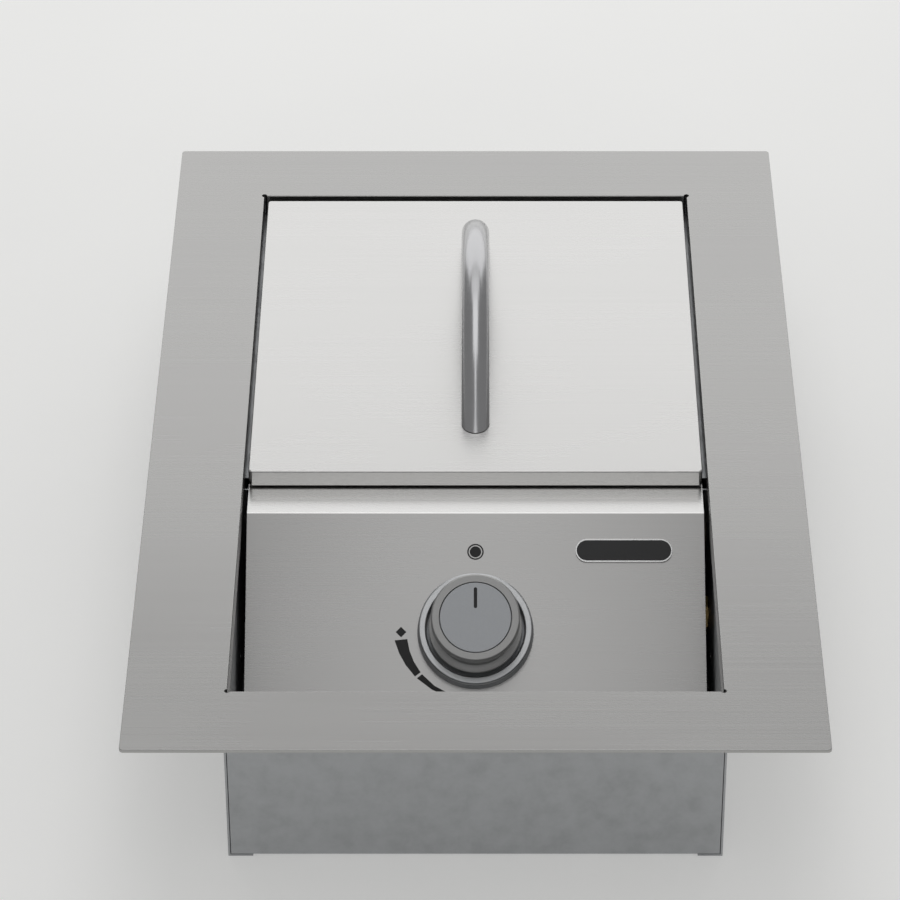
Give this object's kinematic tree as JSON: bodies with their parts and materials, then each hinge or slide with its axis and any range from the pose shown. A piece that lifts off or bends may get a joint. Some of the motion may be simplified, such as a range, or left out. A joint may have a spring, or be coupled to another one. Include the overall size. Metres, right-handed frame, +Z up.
{
  "type": "built in side burner",
  "caption": "Drop-in gas side burner: wide brushed steel frame, flush lift-off lid with a bowed bar handle, sloping control panel with a push-and-turn knob.",
  "frame": {"origin": "under the middle of the trim frame, on the casing's base", "axes": "+X to the user's right, +Y away from the user, +Z up"},
  "size_m": [0.36, 0.57, 0.1611],
  "materials": {
    "brushed_steel": "stainless steel brushed from side to side",
    "polished_steel": "polished round bar",
    "casing_steel": "plain galvanised sheet",
    "fastener_steel": "plain steel",
    "satin_metal": "satin grey metal",
    "cast_aluminium": "as cast",
    "cast_iron": "matt black enamelled casting",
    "brass": "machined",
    "black_enamel": "black plate with a bare metal edge",
    "black_plastic": "moulded",
    "rubber": "moulded silicone rubber",
    "ceramic": "glazed white"
  },
  "bodies": {
    "base": {"trim_flange": "brushed_steel", "casing_left": "casing_steel", "casing_right": "casing_steel", "casing_front": "casing_steel", "casing_rear": "casing_steel", "casing_bottom": "casing_steel", "wall_rivet_left": "fastener_steel", "wall_rivet_right": "fastener_steel", "lid_ledge_left": "casing_steel", "lid_ledge_right": "casing_steel", "lid_ledge_rear": "casing_steel", "lid_bumper_front_left": "rubber", "lid_bumper_front_right": "rubber", "lid_bumper_rear_left": "rubber", "lid_bumper_rear_right": "rubber", "control_panel": "brushed_steel", "burner_bulkhead": "casing_steel", "knob_bezel": "satin_metal", "bezel_ring": "satin_metal", "badge_plate": "black_enamel", "valve_bracket": "casing_steel", "valve_bonnet": "brass", "valve_body": "brass", "panel_screw_left": "fastener_steel", "panel_screw_right": "fastener_steel", "burner_base": "cast_aluminium", "burner_head": "cast_aluminium", "burner_cap": "cast_iron", "air_shutter": "casing_steel", "burner_bracket": "casing_steel", "bracket_screw_left": "fastener_steel", "bracket_screw_right": "fastener_steel", "bowl_rail_left": "casing_steel", "bowl_rail_right": "casing_steel", "spill_bowl": "brushed_steel", "jet_holder": "brass", "jet_orifice": "brass", "burner_feed_tube": "fastener_steel", "gas_supply_tube": "fastener_steel", "inlet_fitting": "brass", "inlet_nut": "brass", "igniter_module": "black_plastic", "battery_cap": "black_plastic", "spark_electrode": "ceramic", "electrode_tip": "fastener_steel", "electrode_bracket": "casing_steel", "spark_lead": "black_plastic"},
    "valve_rotor": {"valve_rotor": "brass"},
    "knob": {"knob_shell": "satin_metal", "knob_face": "satin_metal", "valve_stem": "brass", "valve_spring": "fastener_steel"},
    "grate": {"grate": "cast_iron"},
    "lid": {"lid_shell": "brushed_steel", "lid_handle": "polished_steel", "handle_screw_front": "fastener_steel", "handle_screw_rear": "fastener_steel"}
  },
  "joints": [
    {"name": "knob_turn", "type": "hinge", "parent": "base", "child": "valve_rotor", "pos_m": [0, -0.12365, 0.05763], "axis": [0, -0.6157, 0.788], "range_deg": [0, 210]},
    {"name": "knob_push", "type": "slide", "parent": "valve_rotor", "child": "knob", "axis": [0, 0.6157, -0.788], "range_m": [0, 0.004], "stiffness_N_per_m": 900, "springref_m": -0.002},
    {"name": "grate_lift", "type": "slide", "parent": "base", "child": "grate", "axis": [0, 0, 1], "range_m": [0, 0.1]},
    {"name": "lid_lift", "type": "slide", "parent": "grate", "child": "lid", "axis": [0, 0, 1], "range_m": [0, 0.15]}
  ]
}
